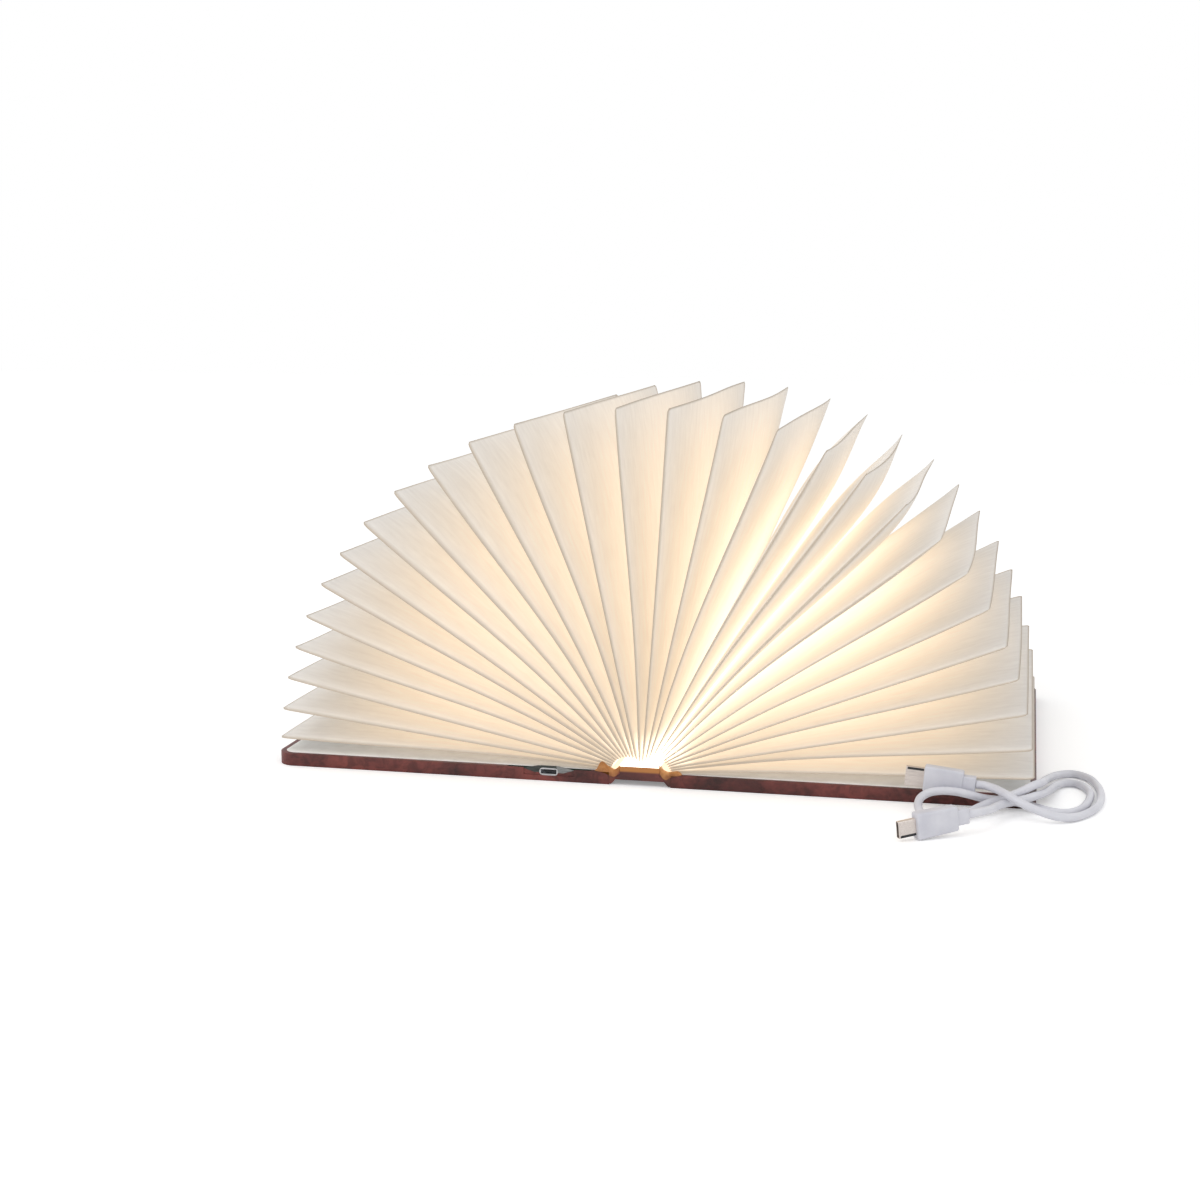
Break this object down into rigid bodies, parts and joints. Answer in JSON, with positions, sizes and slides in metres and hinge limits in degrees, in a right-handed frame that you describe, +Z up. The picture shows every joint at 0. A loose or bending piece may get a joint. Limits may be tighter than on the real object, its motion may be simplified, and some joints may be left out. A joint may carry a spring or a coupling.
{
  "type": "folding book lamp",
  "caption": "Book-shaped lamp: two hinged covers open up to a full turn round a lit spine and fan out folded paper leaves; charged through a port in the cover.",
  "frame": {"origin": "on the table under the middle of the spine, with both covers open flat", "axes": "+X across the covers towards the back cover, +Y along the spine away from the port end, +Z up"},
  "size_m": [0.3585, 0.2741, 0.1607],
  "materials": {
    "covering": "satin, marbled brown covering with pale gold print",
    "board": "matt grey board",
    "white_plastic": "matt",
    "strip_film": "satin film",
    "chip_glow": "lit warm white",
    "diffuser": "milky, lit from below",
    "hinge_leather": "golden brown in the lamp's light",
    "copper_film": "amber film",
    "liner_paper": "smooth white paper",
    "magnet": "bright plated",
    "battery_foil": "satin foil",
    "red_wire": "satin",
    "circuit_green": "satin",
    "black_parts": "matt",
    "steel": "bright",
    "bezel_metal": "satin grey",
    "white_cord": "satin",
    "plug_metal": "satin nickel",
    "white_grip": "fine matt",
    "page_paper": "matt, warm where the light reaches it"
  },
  "bodies": {
    "spine": {"spine_wrap": "covering", "spine_board": "board", "light_bar": "white_plastic", "led_strip": "strip_film", "led_chips": "chip_glow", "diffuser": "diffuser", "front_hinge": "hinge_leather", "back_hinge": "hinge_leather", "light_lead": "copper_film"},
    "front_cover": {"front_wrap": "covering", "front_board": "board", "front_liner": "liner_paper", "front_magnets": "magnet", "battery": "battery_foil", "battery_lead": "red_wire", "circuit_board": "circuit_green", "board_parts": "black_parts", "charge_socket": "steel", "socket_tongue": "black_parts", "socket_bezel": "bezel_metal"},
    "back_cover": {"back_wrap": "covering", "back_board": "board", "back_liner": "liner_paper", "back_magnets": "magnet", "switch_magnet": "magnet"},
    "charge_lead": {"cord": "white_cord", "wide_plug_shell": "plug_metal", "wide_plug_grip": "white_grip", "narrow_plug_shell": "plug_metal", "narrow_plug_grip": "white_grip"},
    "front_page_1": {"front_leaf_1": "page_paper"},
    "front_page_2": {"front_leaf_2": "page_paper"},
    "front_page_3": {"front_leaf_3": "page_paper"},
    "front_page_4": {"front_leaf_4": "page_paper"},
    "front_page_5": {"front_leaf_5": "page_paper"},
    "front_page_6": {"front_leaf_6": "page_paper"},
    "front_page_7": {"front_leaf_7": "page_paper"},
    "front_page_8": {"front_leaf_8": "page_paper"},
    "front_page_9": {"front_leaf_9": "page_paper"},
    "front_page_10": {"front_leaf_10": "page_paper"},
    "front_page_11": {"front_leaf_11": "page_paper"},
    "front_page_12": {"front_leaf_12": "page_paper"},
    "front_page_13": {"front_leaf_13": "page_paper"},
    "front_page_14": {"front_leaf_14": "page_paper"},
    "back_page_1": {"back_leaf_1": "page_paper"},
    "back_page_2": {"back_leaf_2": "page_paper"},
    "back_page_3": {"back_leaf_3": "page_paper"},
    "back_page_4": {"back_leaf_4": "page_paper"},
    "back_page_5": {"back_leaf_5": "page_paper"},
    "back_page_6": {"back_leaf_6": "page_paper"},
    "back_page_7": {"back_leaf_7": "page_paper"},
    "back_page_8": {"back_leaf_8": "page_paper"},
    "back_page_9": {"back_leaf_9": "page_paper"},
    "back_page_10": {"back_leaf_10": "page_paper"},
    "back_page_11": {"back_leaf_11": "page_paper"},
    "back_page_12": {"back_leaf_12": "page_paper"},
    "back_page_13": {"back_leaf_13": "page_paper"},
    "back_page_14": {"back_leaf_14": "page_paper"}
  },
  "joints": [
    {"name": "front_cover_hinge", "type": "hinge", "parent": "spine", "child": "front_cover", "pos_m": [-0.0077, 0, 0.0038], "axis": [0, 1, 0], "range_deg": [-90, 90], "deforming": ["front_hinge", "light_lead"]},
    {"name": "back_cover_hinge", "type": "hinge", "parent": "spine", "child": "back_cover", "pos_m": [0.0077, 0, 0.0038], "axis": [0, -1, 0], "range_deg": [-90, 90], "deforming": ["back_hinge"]},
    {"name": "front_page_1_fold", "type": "hinge", "parent": "spine", "child": "front_page_1", "pos_m": [-0.0077, 0, 0.0038], "axis": [0, 1, 0], "range_deg": [-87.86, 87.86]},
    {"name": "front_page_2_fold", "type": "hinge", "parent": "spine", "child": "front_page_2", "pos_m": [-0.0077, 0, 0.0038], "axis": [0, 1, 0], "range_deg": [-83.25, 83.25]},
    {"name": "front_page_3_fold", "type": "hinge", "parent": "spine", "child": "front_page_3", "pos_m": [-0.0077, 0, 0.0038], "axis": [0, 1, 0], "range_deg": [-78.33, 78.33]},
    {"name": "front_page_4_fold", "type": "hinge", "parent": "spine", "child": "front_page_4", "pos_m": [-0.0077, 0, 0.0038], "axis": [0, 1, 0], "range_deg": [-73.12, 73.12]},
    {"name": "front_page_5_fold", "type": "hinge", "parent": "spine", "child": "front_page_5", "pos_m": [-0.0077, 0, 0.0038], "axis": [0, 1, 0], "range_deg": [-67.59, 67.59]},
    {"name": "front_page_6_fold", "type": "hinge", "parent": "spine", "child": "front_page_6", "pos_m": [-0.0077, 0, 0.0038], "axis": [0, 1, 0], "range_deg": [-61.78, 61.78]},
    {"name": "front_page_7_fold", "type": "hinge", "parent": "spine", "child": "front_page_7", "pos_m": [-0.0077, 0, 0.0038], "axis": [0, 1, 0], "range_deg": [-55.65, 55.65]},
    {"name": "front_page_8_fold", "type": "hinge", "parent": "spine", "child": "front_page_8", "pos_m": [-0.0077, 0, 0.0038], "axis": [0, 1, 0], "range_deg": [-49.23, 49.23]},
    {"name": "front_page_9_fold", "type": "hinge", "parent": "spine", "child": "front_page_9", "pos_m": [-0.0077, 0, 0.0038], "axis": [0, 1, 0], "range_deg": [-42.49, 42.49]},
    {"name": "front_page_10_fold", "type": "hinge", "parent": "spine", "child": "front_page_10", "pos_m": [-0.0077, 0, 0.0038], "axis": [0, 1, 0], "range_deg": [-35.46, 35.46]},
    {"name": "front_page_11_fold", "type": "hinge", "parent": "spine", "child": "front_page_11", "pos_m": [-0.0077, 0, 0.0038], "axis": [0, 1, 0], "range_deg": [-28.12, 28.12]},
    {"name": "front_page_12_fold", "type": "hinge", "parent": "spine", "child": "front_page_12", "pos_m": [-0.0077, 0, 0.0038], "axis": [0, 1, 0], "range_deg": [-20.48, 20.48]},
    {"name": "front_page_13_fold", "type": "hinge", "parent": "spine", "child": "front_page_13", "pos_m": [-0.0077, 0, 0.0038], "axis": [0, 1, 0], "range_deg": [-12.53, 12.53]},
    {"name": "front_page_14_fold", "type": "hinge", "parent": "spine", "child": "front_page_14", "pos_m": [-0.0077, 0, 0.0038], "axis": [0, 1, 0], "range_deg": [-4.29, 4.29]},
    {"name": "back_page_1_fold", "type": "hinge", "parent": "spine", "child": "back_page_1", "pos_m": [0.0077, 0, 0.0038], "axis": [0, -1, 0], "range_deg": [-87.86, 87.86]},
    {"name": "back_page_2_fold", "type": "hinge", "parent": "spine", "child": "back_page_2", "pos_m": [0.0077, 0, 0.0038], "axis": [0, -1, 0], "range_deg": [-83.25, 83.25]},
    {"name": "back_page_3_fold", "type": "hinge", "parent": "spine", "child": "back_page_3", "pos_m": [0.0077, 0, 0.0038], "axis": [0, -1, 0], "range_deg": [-78.33, 78.33]},
    {"name": "back_page_4_fold", "type": "hinge", "parent": "spine", "child": "back_page_4", "pos_m": [0.0077, 0, 0.0038], "axis": [0, -1, 0], "range_deg": [-73.12, 73.12]},
    {"name": "back_page_5_fold", "type": "hinge", "parent": "spine", "child": "back_page_5", "pos_m": [0.0077, 0, 0.0038], "axis": [0, -1, 0], "range_deg": [-67.59, 67.59]},
    {"name": "back_page_6_fold", "type": "hinge", "parent": "spine", "child": "back_page_6", "pos_m": [0.0077, 0, 0.0038], "axis": [0, -1, 0], "range_deg": [-61.78, 61.78]},
    {"name": "back_page_7_fold", "type": "hinge", "parent": "spine", "child": "back_page_7", "pos_m": [0.0077, 0, 0.0038], "axis": [0, -1, 0], "range_deg": [-55.65, 55.65]},
    {"name": "back_page_8_fold", "type": "hinge", "parent": "spine", "child": "back_page_8", "pos_m": [0.0077, 0, 0.0038], "axis": [0, -1, 0], "range_deg": [-49.23, 49.23]},
    {"name": "back_page_9_fold", "type": "hinge", "parent": "spine", "child": "back_page_9", "pos_m": [0.0077, 0, 0.0038], "axis": [0, -1, 0], "range_deg": [-42.49, 42.49]},
    {"name": "back_page_10_fold", "type": "hinge", "parent": "spine", "child": "back_page_10", "pos_m": [0.0077, 0, 0.0038], "axis": [0, -1, 0], "range_deg": [-35.46, 35.46]},
    {"name": "back_page_11_fold", "type": "hinge", "parent": "spine", "child": "back_page_11", "pos_m": [0.0077, 0, 0.0038], "axis": [0, -1, 0], "range_deg": [-28.12, 28.12]},
    {"name": "back_page_12_fold", "type": "hinge", "parent": "spine", "child": "back_page_12", "pos_m": [0.0077, 0, 0.0038], "axis": [0, -1, 0], "range_deg": [-20.48, 20.48]},
    {"name": "back_page_13_fold", "type": "hinge", "parent": "spine", "child": "back_page_13", "pos_m": [0.0077, 0, 0.0038], "axis": [0, -1, 0], "range_deg": [-12.53, 12.53]},
    {"name": "back_page_14_fold", "type": "hinge", "parent": "spine", "child": "back_page_14", "pos_m": [0.0077, 0, 0.0038], "axis": [0, -1, 0], "range_deg": [-4.29, 4.29]},
    {"name": "charge_lead_slide", "type": "slide", "parent": "spine", "child": "charge_lead", "axis": [0, -1, 0], "range_m": [0, 0.1]}
  ],
  "couplings": [
    {"joint": "front_page_1_fold", "follows": "front_cover_hinge", "ratio": 0.9757},
    {"joint": "front_page_2_fold", "follows": "front_cover_hinge", "ratio": 0.9244},
    {"joint": "front_page_3_fold", "follows": "front_cover_hinge", "ratio": 0.8698},
    {"joint": "front_page_4_fold", "follows": "front_cover_hinge", "ratio": 0.8119},
    {"joint": "front_page_5_fold", "follows": "front_cover_hinge", "ratio": 0.7505},
    {"joint": "front_page_6_fold", "follows": "front_cover_hinge", "ratio": 0.6859},
    {"joint": "front_page_7_fold", "follows": "front_cover_hinge", "ratio": 0.6178},
    {"joint": "front_page_8_fold", "follows": "front_cover_hinge", "ratio": 0.5464},
    {"joint": "front_page_9_fold", "follows": "front_cover_hinge", "ratio": 0.4716},
    {"joint": "front_page_10_fold", "follows": "front_cover_hinge", "ratio": 0.3934},
    {"joint": "front_page_11_fold", "follows": "front_cover_hinge", "ratio": 0.3119},
    {"joint": "front_page_12_fold", "follows": "front_cover_hinge", "ratio": 0.227},
    {"joint": "front_page_13_fold", "follows": "front_cover_hinge", "ratio": 0.1387},
    {"joint": "front_page_14_fold", "follows": "front_cover_hinge", "ratio": 0.0471},
    {"joint": "back_page_1_fold", "follows": "back_cover_hinge", "ratio": 0.9757},
    {"joint": "back_page_2_fold", "follows": "back_cover_hinge", "ratio": 0.9244},
    {"joint": "back_page_3_fold", "follows": "back_cover_hinge", "ratio": 0.8698},
    {"joint": "back_page_4_fold", "follows": "back_cover_hinge", "ratio": 0.8119},
    {"joint": "back_page_5_fold", "follows": "back_cover_hinge", "ratio": 0.7505},
    {"joint": "back_page_6_fold", "follows": "back_cover_hinge", "ratio": 0.6859},
    {"joint": "back_page_7_fold", "follows": "back_cover_hinge", "ratio": 0.6178},
    {"joint": "back_page_8_fold", "follows": "back_cover_hinge", "ratio": 0.5464},
    {"joint": "back_page_9_fold", "follows": "back_cover_hinge", "ratio": 0.4716},
    {"joint": "back_page_10_fold", "follows": "back_cover_hinge", "ratio": 0.3934},
    {"joint": "back_page_11_fold", "follows": "back_cover_hinge", "ratio": 0.3119},
    {"joint": "back_page_12_fold", "follows": "back_cover_hinge", "ratio": 0.227},
    {"joint": "back_page_13_fold", "follows": "back_cover_hinge", "ratio": 0.1387},
    {"joint": "back_page_14_fold", "follows": "back_cover_hinge", "ratio": 0.0471}
  ]
}
